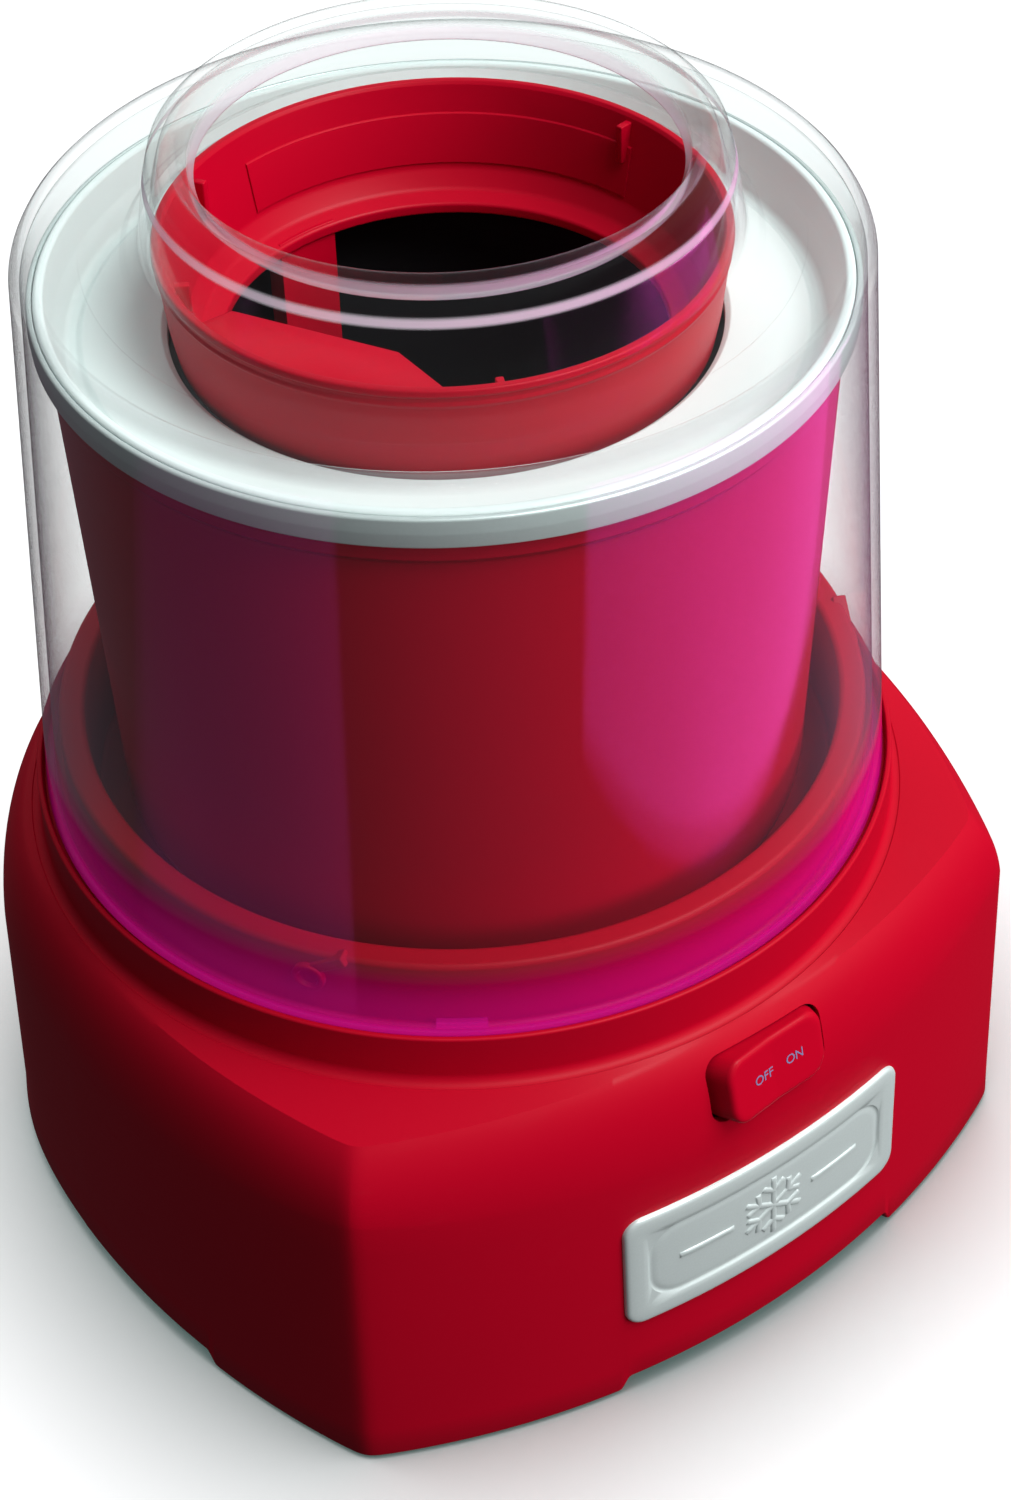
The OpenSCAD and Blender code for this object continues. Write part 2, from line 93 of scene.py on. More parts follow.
class BowlSettings(bpy.types.PropertyGroup):
    """Sizes and colours of the freezer bowl and the paddle."""

    colour: a_colour("Bowl red", "Colour of the bowl's outer wall", (0.38, 0.0, 0.014))
    paddle_colour: a_colour("Paddle red", "Colour of the mixing paddle", (0.40, 0.0, 0.013))
    cap_colour: a_colour("Top ring", "Colour of the bowl's pale top ring", (0.69, 0.76, 0.75))
    ring_rib: a_length("Rib width", "Thickness of the paddle ring's small ribs", 0.0018)


class LidSettings(bpy.types.PropertyGroup):
    """Sizes and colour of the clear lid."""

    wall: a_length("Wall", "Thickness of the lid's wall", 0.002)
    tint: a_colour("Clear tint", "What one face of the lid lets through", (0.972, 0.984, 0.981))
    edge_tint: a_colour("Edge tint", "Colour the lid shows where it is seen edge on", (0.90, 0.94, 0.94))
    # Painted reflection: the red base, as the lid's lower band would mirror it, painted in as a colour.
    foot_reflection_tint: a_colour(
        "Foot tint", "Colour the lid's lower edge takes up from the red base", (0.90, 0.01, 0.40))


class StudioSettings(bpy.types.PropertyGroup):
    """Camera and lights."""

    lens: FloatProperty(name="Lens", description="Focal length in mm", default=65.8, min=20)
    roll: FloatProperty(
        name="Roll", description="Camera roll", default=radians(-1.7),
        unit="ROTATION", subtype="ANGLE")
    floor_size: a_length("Floor size", "Side of the square floor", 6.0)
    show_labels: BoolProperty(
        name="Switch labels", description="Print OFF and ON on the rocker", default=True)


GROUPS = {
    "icm_base": BaseSettings,
    "icm_bowl": BowlSettings,
    "icm_lid": LidSettings,
    "icm_studio": StudioSettings,
}


def settings(name):
    return getattr(bpy.context.scene, name)


# ---------------------------------------------------------------- shaders


def shade_of(colour, share):
    """A colour made darker (share below 1) or lighter (above 1)."""
    return tuple(min(1.0, part * share) for part in colour)


class Socket:
    """A value inside a material. Arithmetic on it adds Math nodes."""

    def __init__(self, finish, socket):
        self.finish = finish
        self.socket = socket

    def _math(self, operation, *values):
        return self.finish.node("ShaderNodeMath", {"operation": operation}, dict(enumerate(values)))

    def __add__(self, other):
        return self._math("ADD", self, other)

    def __sub__(self, other):
        return self._math("SUBTRACT", self, other)

    def __mul__(self, other):
        return self._math("MULTIPLY", self, other)

    def __pow__(self, other):
        return self._math("POWER", self, other)

    def __radd__(self, other):
        return self._math("ADD", other, self)

    def __rsub__(self, other):
        return self._math("SUBTRACT", other, self)

    def __rmul__(self, other):
        return self._math("MULTIPLY", other, self)

    def sine(self):
        return self._math("SINE", self)

    def step(self, low, high):
        """0 below low, 1 above high, and a straight ramp between."""
        return self.finish.node(
            "ShaderNodeMapRange", {"clamp": True}, {0: self, 1: low, 2: high, 3: 0.0, 4: 1.0})


class Graph:
    """A node tree and the short ways to add nodes to it."""

    def __init__(self, tree):
        self.tree = tree
        self.tree.nodes.clear()

    def node(self, kind, set_first, inputs, output=0):
        """A node of this kind, with its settings and then its inputs, as its output socket."""
        made = self.tree.nodes.new(kind)
        for key, value in set_first.items():
            setattr(made, key, value)
        for key, value in inputs.items():
            self.feed(made.inputs[key], value)
        return Socket(self, made.outputs[output])

    def feed(self, socket, value):
        if isinstance(value, Socket):
            self.tree.links.new(value.socket, socket)
        elif isinstance(value, (tuple, list)) and socket.type == "RGBA" and len(value) == 3:
            socket.default_value = (*value, 1.0)
        else:
            socket.default_value = value

    def mix(self, share, first, second):
        """A colour between two, by share."""
        return self.node(
            "ShaderNodeMix", {"data_type": "RGBA"}, {0: share, 6: first, 7: second}, 2)

    def shades(self, share, colour, low, high):
        """From a colour at one lightness to the same colour at another, by share."""
        return self.mix(share, shade_of(colour, low), shade_of(colour, high))

    def end(self, kind, shader):
        """Feeds a shader to the tree's output node."""
        output = self.tree.nodes.new(kind)
        self.tree.links.new(shader.socket, output.inputs[0])


class Finish(Graph):
    """One material."""

    def __init__(self, name):
        self.material = bpy.data.materials.new(name)
        self.material.use_nodes = True
        super().__init__(self.material.node_tree)
        self.where = self.node("ShaderNodeTexCoord", {}, {}, "Object")

    def noise(self, scale, detail=3.0, stretch=(1, 1, 1), roughness=0.55):
        place = self.node("ShaderNodeMapping", {}, {"Vector": self.where, "Scale": stretch})
        return self.node(
            "ShaderNodeTexNoise", {},
            {"Vector": place, "Scale": scale, "Detail": detail, "Roughness": roughness})

    def axis(self, name):
        return self.node("ShaderNodeSeparateXYZ", {}, {0: self.where}, name)

    def bump(self, height, distance, strength=1.0, under=None):
        links = {"Height": height, "Distance": distance, "Strength": strength}
        if under is not None:
            links["Normal"] = under
        return self.node("ShaderNodeBump", {}, links)

    def principled(self, **inputs):
        named = {key.replace("_", " "): value for key, value in inputs.items()}
        return self.node("ShaderNodeBsdfPrincipled", {}, named)

    def surface(self, **inputs):
        """Ends the material in a Principled shader."""
        self.end("ShaderNodeOutputMaterial", self.principled(**inputs))
        return self.material


def moulded(name, colour, roughness=0.46, grain=0.00002, gloss=0.12):
    """Satin moulded plastic: fine mould grain, slow tone drift, scuffs a little darker and rougher."""
    f = Finish(name)
    drift = f.noise(9.0, 2.0)
    grains = f.noise(1500.0, 2.0)
    scuff = f.noise(70.0, 5.0, (1, 1, 3), 0.7).step(0.58, 0.8)
    tone = f.shades(drift, colour, 0.93, 1.07)
    worn = f.mix(scuff * 0.1, tone, tuple(part * 0.9 + 0.01 for part in colour))
    rough = roughness + (grains - 0.5) * 0.08 + scuff * 0.06
    return f.surface(
        Base_Color=worn, Roughness=rough, IOR=1.5, Specular_IOR_Level=gloss,
        Normal=f.bump(grains, grain, 0.35, f.bump(drift, 0.0004, 0.15)))


def matt_plastic(name, colour, roughness=0.55):
    """Textured dark or natural plastic."""
    f = Finish(name)
    grains = f.noise(900.0, 4.0)
    return f.surface(
        Base_Color=f.shades(f.noise(20.0, 2.0), colour, 0.85, 1.15), IOR=1.5,
        Roughness=roughness + (grains - 0.5) * 0.2, Normal=f.bump(grains, 0.00006, 0.5))


def rubber(name, colour):
    f = Finish(name)
    grains = f.noise(600.0, 5.0)
    dust = f.noise(45.0, 3.0).step(0.55, 0.75)
    return f.surface(
        Base_Color=f.mix(dust * 0.3, colour, (0.09, 0.085, 0.08)),
        Roughness=0.8 + (grains - 0.5) * 0.15, Normal=f.bump(grains, 0.0001, 0.5))


def brushed(name, colour, roughness=0.3, stretch=(1, 1, 30), scale=220.0):
    """Metal brushed along the two short directions of the stretched noise."""
    f = Finish(name)
    lines = f.noise(scale, 4.0, stretch, 0.7)
    smudge = f.noise(16.0, 3.0)
    return f.surface(
        Base_Color=f.shades(lines, colour, 0.86, 1.1), Metallic=1.0,
        Roughness=roughness + (lines - 0.5) * 0.16 + (smudge - 0.5) * 0.08,
        Normal=f.bump(lines, 0.00003, 0.5))


def satin_silver(name, colour):
    """Silver-grey satin finish: mostly a pale coat, with a little metal glint and fine brushing."""
    f = Finish(name)
    lines = f.noise(500.0, 4.0, (1, 1, 10), 0.7)
    flecks = f.noise(2200.0, 2.0).step(0.4, 0.75)
    tone = f.shades(lines, colour, 0.93, 1.07)
    return f.surface(
        Base_Color=f.mix(flecks * 0.25, tone, shade_of(colour, 1.25)), Metallic=0.35 + flecks * 0.1,
        Roughness=0.4 + (lines - 0.5) * 0.1, Normal=f.bump(lines, 0.00002, 0.4))


def painted_shade_metal(name, colour):
    """Dull spun metal painted nearly black, which paints in the shade deep inside the bowl, with the
    spinning lines just showing.
    """
    f = Finish(name)
    lines = f.noise(120.0, 4.0, (1, 1, 8), 0.7)
    return f.surface(
        Base_Color=f.shades(lines, colour, 0.6, 1.5), Metallic=0.1,
        Roughness=0.5 + (lines - 0.5) * 0.2, Specular_IOR_Level=0.12,
        Normal=f.bump(lines, 0.00003, 0.5))


def laminated(name, colour):
    """Stacked steel sheets seen on edge."""
    f = Finish(name)
    sheets = (f.axis("Z") * (2 * pi / 0.0005)).sine().step(-0.2, 0.6)
    stain = f.noise(60.0, 4.0)
    return f.surface(
        Base_Color=f.mix(sheets, shade_of(colour, 0.6), colour), Metallic=0.8,
        Roughness=0.4 + stain * 0.2, Normal=f.bump(sheets, 0.0001, 0.6))


def windings(name, colour):
    """Enamelled copper wire, wound round the x axis."""
    f = Finish(name)
    wire = (f.axis("X") * (2 * pi / 0.0006)).sine()
    tone = f.noise(140.0, 3.0)
    return f.surface(
        Base_Color=f.mix(tone, shade_of(colour, 0.7), colour), Metallic=0.7,
        Roughness=0.28 + tone * 0.15, Normal=f.bump(wire.step(-1, 1), 0.0002, 0.8))


def gel(name, colour):
    f = Finish(name)
    cloud = f.noise(40.0, 5.0)
    return f.surface(
        Base_Color=f.shades(cloud, colour, 0.8, 1.3),
        Roughness=0.2 + cloud * 0.1, Normal=f.bump(cloud, 0.0005, 0.3))


def clear_moulding(name, tint, edge, base_reflection_colour, rim, lip):
    """Thin clear plastic: lets light through, and mirrors more the more it is seen edge on. Its
    spout's lip and shoulder, its rim and its foot are thick and catch the light. The lip and shoulder
    are also painted pale pink as a painted highlight, and a band up from the foot is painted
    pink-red as a painted reflection of the red base. The rim's height and the lip's radius are in
    metres."""
    f = Finish(name)
    grazing = f.node("ShaderNodeLayerWeight", {}, {"Blend": 0.5}, "Facing")
    flow = f.noise(26.0, 2.0, (1, 1, 0.4))
    x, y, z = f.axis("X"), f.axis("Y"), f.axis("Z")
    reach = (x * x + y * y) ** 0.5
    foot, reflection_band_top, shoulder = 0.1156, 0.1360, 0.2766
    lip_edge = 1.0 - reach.step(lip + 0.0010, lip + 0.0018)
    shoulder_edge = z.step(shoulder, 0.2774) * (1.0 - z.step(0.2784, 0.2794))
    shoulder_edge = shoulder_edge * reach.step(lip + 0.0096, lip + 0.0100)
    rim_edge = z.step(rim - 0.0030, rim - 0.0010) * reach.step(lip + 0.0370, lip + 0.0385)
    foot_edge = 1.0 - z.step(foot, 0.1180)
    # A band from the foot up, painted pink-red: a painted reflection of the red base.
    painted_reflection_band = 1.0 - z.step(0.1170, reflection_band_top)
    # Lip and shoulder: thick plastic, and also the place of a painted highlight.
    thick_and_highlit = lip_edge + shoulder_edge
    glass = f.node("ShaderNodeBsdfTransparent", {}, {"Color": tint})
    streaks = f.shades(flow, edge, 0.94, 1.06)
    # The foot band takes the painted reflection colour of the red base.
    tone = f.mix(painted_reflection_band.step(0.0, 0.25), streaks, base_reflection_colour)
    # The thick lip and shoulder painted pale pink: a painted highlight on top of the look of thick
    # plastic.
    tone = f.mix(thick_and_highlit, tone, (0.95, 0.80, 0.90))
    skin = f.principled(
        Base_Color=tone, Metallic=0.75 - 0.7 * (painted_reflection_band + thick_and_highlit).step(0.0, 0.5),
        Roughness=0.05 + flow * 0.03, IOR=1.49, Normal=f.bump(flow, 0.0003, 0.1))
    share = 0.012 + (grazing ** 5.0) * 0.85
    share = share + (thick_and_highlit * 0.5 + rim_edge * 0.3 + foot_edge * 0.35 + painted_reflection_band * 0.14)
    mixed = f.node("ShaderNodeMixShader", {}, {0: share, 1: glass, 2: skin})
    f.end("ShaderNodeOutputMaterial", mixed)
    return f.material


# ---------------------------------------------------------------- meshes

FULL = 2 * pi


def rounded(corners, turn_step=12.0):
    """Closed outline with its corners filleted; a corner is (x, y) or (x, y, radius), in mm."""
    count = len(corners)
    points = []
    for k, corner in enumerate(corners):
        here = Vector(corner[:2])
        radius = corner[2] if len(corner) > 2 else 0.0
        back = Vector(corners[k - 1][:2]) - here
        ahead = Vector(corners[(k + 1) % count][:2]) - here
        if radius <= 0 or back.length < 1e-9 or ahead.length < 1e-9:
            points.append(here)
            continue
        turn = pi - back.angle(ahead)
        if turn < radians(2):
            points.append(here)
            continue
        tangent = min(radius * tan(turn / 2), 0.48 * back.length, 0.48 * ahead.length)
        start, end = here + back.normalized() * tangent, here + ahead.normalized() * tangent
        steps = max(2, ceil(degrees(turn) / turn_step))
        fillet = tangent / tan(turn / 2)
        inward = (back.normalized() + ahead.normalized()).normalized()
        centre = here + inward * (fillet / cos(turn / 2))
        first, last = start - centre, end - centre
        sweep = first.angle_signed(last)
        for i in range(steps + 1):
            a = -sweep * i / steps
            spun = Vector((first.x * cos(a) - first.y * sin(a),
                           first.x * sin(a) + first.y * cos(a)))
            points.append(centre + spun)
    return [(p.x, p.y) for p in points]


def placed(name, data):
    """A new object in the scene."""
    made = bpy.data.objects.new(name, data)
    bpy.context.scene.collection.objects.link(made)
    return made


def smoothed(mesh, sharp):
    """Smooth faces, with the edges over this many degrees kept sharp."""
    for face in mesh.polygons:
        face.use_smooth = True
    mesh.set_sharp_from_angle(angle=radians(sharp))


def add_object(name, mesh, body, material, sharp=38.0):
    """Puts a mesh in the scene, smooth with sharp edges kept, riding on a body."""
    mesh.materials.append(material)
    smoothed(mesh, sharp)
    piece = placed(name, mesh)
    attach(piece, body)
    return piece


def mesh_from(name, points, faces):
    """A clean mesh with its normals out; points are in mm."""
    mesh = bpy.data.meshes.new(name)
    mesh.from_pydata([[c * MM for c in p] for p in points], [], faces)
    tidy = bmesh.new()
    tidy.from_mesh(mesh)
    bmesh.ops.remove_doubles(tidy, verts=tidy.verts, dist=1e-6)
    bmesh.ops.dissolve_degenerate(tidy, edges=tidy.edges, dist=1e-7)
    bmesh.ops.recalc_face_normals(tidy, faces=tidy.faces)
    tidy.to_mesh(mesh)
    tidy.free()
    return mesh


def grid_faces(rows, columns, wrap_rows=True, wrap_columns=True):
    """Quads of a grid of points stored row by row."""
    faces = []
    for r in range(rows if wrap_rows else rows - 1):
        for c in range(columns if wrap_columns else columns - 1):
            r2, c2 = (r + 1) % rows, (c + 1) % columns
            faces.append((r * columns + c, r * columns + c2, r2 * columns + c2, r2 * columns + c))
    return faces


def revolved(name, outline, segments=256, start=0.0, sweep=FULL):
    """A ring turned round z from an outline of (radius, height), or a capped part of one."""
    whole = sweep >= FULL - 1e-9
    rows = segments if whole else segments + 1
    points = []
    for k in range(rows):
        a = start + sweep * k / segments
        points += [(r * cos(a), r * sin(a), z) for r, z in outline]
    faces = grid_faces(rows, len(outline), whole)
    if not whole:
        n = len(outline)
        faces += [tuple(range(n)), tuple(reversed(range((rows - 1) * n, rows * n)))]
    return mesh_from(name, points, faces)


def joined(name, meshes):
    """One mesh from several closed ones."""
    out = bmesh.new()
    for mesh in meshes:
        out.from_mesh(mesh)
    whole = bpy.data.meshes.new(name)
    out.to_mesh(whole)
    out.free()
    return whole


def soft_block(name, low, high, edge, place=Matrix.Identity(4)):
    """A box with rounded edges, in mm, then placed by a matrix in mm."""
    block = bmesh.new()
    bmesh.ops.create_cube(block, size=1.0)
    size = [h - l for l, h in zip(low, high)]
    centre = [(h + l) / 2 for l, h in zip(low, high)]
    bmesh.ops.scale(block, vec=size, verts=block.verts)
    bmesh.ops.translate(block, vec=centre, verts=block.verts)
    bmesh.ops.bevel(block, geom=block.edges[:], offset=edge, segments=3, profile=0.6, affect="EDGES")
    bmesh.ops.transform(block, matrix=place, verts=block.verts)
    bmesh.ops.scale(block, vec=(MM, MM, MM), verts=block.verts)
    mesh = bpy.data.meshes.new(name)
    block.to_mesh(mesh)
    block.free()
    return mesh


def cut(piece, cutter_mesh):
    """Takes a closed mesh out of a piece for good."""
    tool = placed("cutter", cutter_mesh)
    modifier = piece.modifiers.new("cut", "BOOLEAN")
    modifier.operation, modifier.solver, modifier.object = "DIFFERENCE", "EXACT", tool
    bpy.context.view_layer.update()
    shaped = piece.evaluated_get(bpy.context.evaluated_depsgraph_get())
    mesh = bpy.data.meshes.new_from_object(shaped)
    piece.modifiers.clear()
    old, piece.data = piece.data, mesh
    bpy.data.meshes.remove(old)
    bpy.data.objects.remove(tool)
    if len(mesh.polygons) == 0:
        raise RuntimeError(f"the cut emptied {piece.name}")


# ---------------------------------------------------------------- the base's shape


class BaseShape:
    """The base's plan and section, in mm, the same as in the CAD source."""

    ridge_inset = 13.0
    ridge_z = 103.0
    rear_radius = 126.2
    skirt_low = 1.0
    notch_low = 5.5
    wall = 2.5
    corner_soften = 0.9
    flatness = 0.35

    def __init__(self):
        s = settings("icm_base")
        self.half = s.half_width / MM
        self.side = s.side_radius / MM
        self.draft = s.draft / MM
        self.shoulder = s.shoulder / MM
        self.rise = s.shoulder_rise / MM
        self.shift = s.front_shift / MM
        self.offset = self.side - self.half
        self.rear_y = self.half - self.rear_radius
        self.corner = self.sharp_radius(radians(225), 0.0)

    def ray(self, a, cx, cy, radius):
        """Distance from the axis to a circle, along the direction a."""
        along = cx * cos(a) + cy * sin(a)
        return along + sqrt(along * along - cx * cx - cy * cy + radius * radius)

    def sides(self, a, inset):
        reach = self.side - inset
        found = [self.ray(a, self.offset, 0, reach), self.ray(a, -self.offset, 0, reach),
                 self.ray(a, 0, self.offset, reach)]
        if sin(a) > 0:
            found.append(self.ray(a, 0, self.rear_y, self.rear_radius - inset))
        return found

    def sharp_radius(self, a, inset):
        return min(self.sides(a, inset))

    def radius(self, a, inset):
        """Plan radius with the corner folds slightly rounded."""
        found = self.sides(a, inset)
        least = min(found)
        k = self.corner_soften
        return least - k * log(sum(exp(-(r - least) / k) for r in found))

    def cornering(self, a):
        """0 in the middle of a side, 1 at a sharp corner."""
        return max(0.0, min(1.0, (self.sharp_radius(a, 0) - self.half) / (self.corner - self.half)))

    def cord_frame(self):
        """Frame of the cord's way out, z pointing out of the leaning rear wall."""
        height = 22.0
        lean = atan2(self.draft, self.shoulder)
        middle = self.half - self.draft * height / self.shoulder
        turn = Matrix.Rotation(lean - pi / 2, 4, "X")
        return Matrix.Translation((0, middle * MM, height * MM)) @ turn

    def foot_height(self, a):
        """Lower edge of the skirt: raised in the middle of each side."""
        x, y = self.radius(a, 0) * cos(a), self.radius(a, 0) * sin(a)
        if abs(y) > abs(x):
            inside = 43.0 - abs(x - (self.shift if y < 0 else 0.0))
        else:
            inside = min(50.0 - y, y + 55.0)
        share = max(0.0, min(1.0, inside / 3.0 + 0.5))
        share = share * share * (3 - 2 * share)
        return self.skirt_low + (self.notch_low - self.skirt_low) * share

    def band(self, a, t, inset=0.0, drop=0.0):
        """A point of the rounded shoulder band, t from 0 at the wall to 1 at the ridge."""
        full = radians(90 - 26 * self.cornering(a))
        low = self.shoulder + self.rise * self.cornering(a)
        across = (1 - cos(full * t)) / (1 - cos(full))
        across += (t - across) * self.flatness
        rise = sin(full * t) / sin(full)
        rise += (t - rise) * self.flatness
        out = self.draft + (self.ridge_inset - self.draft) * across
        return self.radius(a, out + inset), low + (self.ridge_z - drop - low) * rise

    def wall_point(self, a, height):
        """A point of the wall at a height below the shoulder."""
        top = self.shoulder + self.rise * self.cornering(a)
        return self.radius(a, self.draft * height / top), height


# The round parts of the base's section, from the flat top inwards, as (radius, height, fillet)
PLINTH_AND_RING = [
    (107.6, 103.7, 2.6), (107.2, 117.2, 0.6), (105.9, 117.2, 0.4), (105.4, 114.4, 0.2),
    (100, 114.4, 1.2), (99.7, 133, 1.4), (93.2, 133, 1.6), (93, 105, 1.4),
    (20, 105, 1), (19.2, 107, 0.7), (8, 107, 0.2), (8, 101, 0.2),
]
INNER_SECTION = [
    (17, 101), (17, 102), (95.2, 102), (95.2, 130.8), (97.5, 130.8), (97.6, 112),
    (104.9, 112), (104.9, 101.6),
]


def base_angles(shape):
    """Directions round the base, closer together at the folds and the notch steps."""
    found = set(radians(k * 1.25) for k in range(288))
    for fold in (225, 315):
        found.update(radians(fold + k * 0.1) for k in range(-14, 15))
    for k in range(288 * 4):
        a, b = radians(k * 0.3125), radians((k + 1) * 0.3125)
        if abs(shape.foot_height(a) - shape.foot_height(b)) > 0.05:
            found.update((a, b))
    return sorted(found)


def base_shell_mesh(shape):
    """The one moulding: skirt, shoulder, flat top, plinth, locating ring and deck."""
    round_part = rounded([(118, 103)] + PLINTH_AND_RING + INNER_SECTION + [(104.9, 90)])[1:-1]
    angles = base_angles(shape)
    points = []
    plinth_foot = 110.2
    for a in angles:
        foot = shape.foot_height(a)
        low = shape.shoulder + shape.rise * shape.cornering(a)
        section = [(shape.radius(a, 0.9), foot), (shape.radius(a, 0.25), foot + 0.25),
                   (shape.radius(a, 0.0), foot + 0.9)]
        section += [shape.wall_point(a, foot + 0.9 + (low - foot - 0.9) * k / 9) for k in range(1, 9)]
        section += [shape.band(a, t / 16) for t in range(17)]
        ridge_r, ridge_z = section[-1]
        section += [(ridge_r + (plinth_foot - ridge_r) * k / 3, ridge_z + 0.25 * k) for k in (1, 2, 3)]
        section += round_part
        section += [shape.band(a, t / 6, shape.wall, shape.wall) for t in range(6, -1, -1)]
        section += [(shape.radius(a, shape.wall + 1.0), 40.0), (shape.radius(a, shape.wall), foot)]
        points += [(r * cos(a), r * sin(a), z) for r, z in section]
    return mesh_from("housing_shell", points, grid_faces(len(angles), len(section)))


def spun(mesh, turn):
    """A mesh turned round z by so many degrees."""
    mesh.transform(Matrix.Rotation(radians(turn), 4, "Z"))
    return mesh


LUG_ANGLES = (-144, -24, 96)
LUG_HEIGHT = 125.3
LUG_RISE = 30


def lug_meshes(angle):
    """A locking lug on the ring: its round hollow boss, and the web that rises from it."""
    root, reach, hollow = 98.6, 101.2, 1.2
    outline = rounded([(0.01, root), (4.0, root), (4.0, reach, 0.5), (2.6, reach, 0.4),
                       (2.2, reach - hollow, 0.3), (0.01, reach - hollow)])
    boss = revolved("lug_boss", outline, 48)
    outward = Matrix.Rotation(radians(90), 4, "Y")
    boss.transform(Matrix.Translation((0, 0, LUG_HEIGHT * MM)) @ outward)
    rise = Matrix.Translation((0, 0, LUG_HEIGHT)) @ Matrix.Rotation(radians(LUG_RISE), 4, "X")
    web = soft_block("lug_web", (97, 2.4, 0.6), (100.6, 11.5, 3.4), 0.5, rise)
    return [spun(mesh, angle) for mesh in (boss, web)]


class SwitchFrame:
    """The rocker's sloping frame in mm: x across, y into the base, z up the slope."""

    slope = radians(15.4)
    origin = (-118.1, 91.4)
    pivot = 6.1
    half_w = 16.75
    half_h = 9.0
    round_r = 5.2
    gap = 0.35

    def __init__(self):
        place = (settings("icm_base").front_shift, self.origin[0] * MM, self.origin[1] * MM)
        self.matrix = Matrix.Translation(place) @ Matrix.Rotation(-self.slope, 4, "X")


def round_rect(width, height, radius, steps=8):
    """Points of a rounded rectangle round the origin, anticlockwise."""
    points = []
    for k, (sx, sy) in enumerate(((1, 1), (-1, 1), (-1, -1), (1, -1))):
        cx, cy = sx * (width / 2 - radius), sy * (height / 2 - radius)
        for i in range(steps + 1):
            a = pi / 2 * (k + i / steps)
            points.append((cx + radius * cos(a), cy + radius * sin(a)))
    return points


def spread(flat):
    """Adds points along the long straight sides of an outline, so that it can be bent smoothly."""
    out = []
    for k, p in enumerate(flat):
        q = flat[(k + 1) % len(flat)]
        pieces = 24 if abs(q[0] - p[0]) > 15 else (8 if abs(q[1] - p[1]) > 5 else 1)
        out += [(p[0] + (q[0] - p[0]) * i / pieces, p[1] + (q[1] - p[1]) * i / pieces)
                for i in range(pieces)]
    return out


def stacked(name, loops, cap_last=True):
    """A closed solid from loops of equal length, with flat ends."""
    count = len(loops[0])
    points = [p for loop in loops for p in loop]
    faces = grid_faces(len(loops), count, wrap_rows=False)
    faces.append(tuple(range(count)))
    if cap_last:
        faces.append(tuple(range((len(loops) - 1) * count, len(loops) * count)))
    return mesh_from(name, points, faces)


# ---------------------------------------------------------------- operators


class Builder(bpy.types.Operator):
    """Shared ground of the operators: execute calls build."""

    bl_idname = "icm.builder"
    bl_label = "Ice cream maker builder"
    bl_options = {"REGISTER", "UNDO"}

    def build(self):
        raise NotImplementedError

    def execute(self, context):
        self.build()
        return {"FINISHED"}


class BuildHousing(Builder):
    """Build the base's red shell with its plinth, ring and lugs."""

    bl_idname = "icm.housing"
    bl_label = "Housing"

    def build(self):
        shape = BaseShape()
        red = moulded("red_housing", tuple(settings("icm_base").colour))
        shell = base_shell_mesh(shape)
        piece = add_object("housing", shell, "base", red)
        frame_of = SwitchFrame()
        size = [2 * (half + frame_of.gap) for half in (frame_of.half_w, frame_of.half_h)]
        opening = stacked("opening", [
            [(x, y, z) for x, z in round_rect(*size, frame_of.round_r - 0.6)] for y in (-16.0, 8.0)])
        opening.transform(frame_of.matrix)
        cut(piece, opening)
        hole = revolved("cord_hole", [(0.01, -12), (6, -12), (6, 8), (0.01, 8)], 64)
        hole.transform(shape.cord_frame())
        cut(piece, hole)
        smoothed(piece.data, 30.0)
        lugs = joined("lug_set", [m for a in LUG_ANGLES for m in lug_meshes(a)])
        add_object("lock_lugs", lugs, "base", red)
        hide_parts("base_housing")


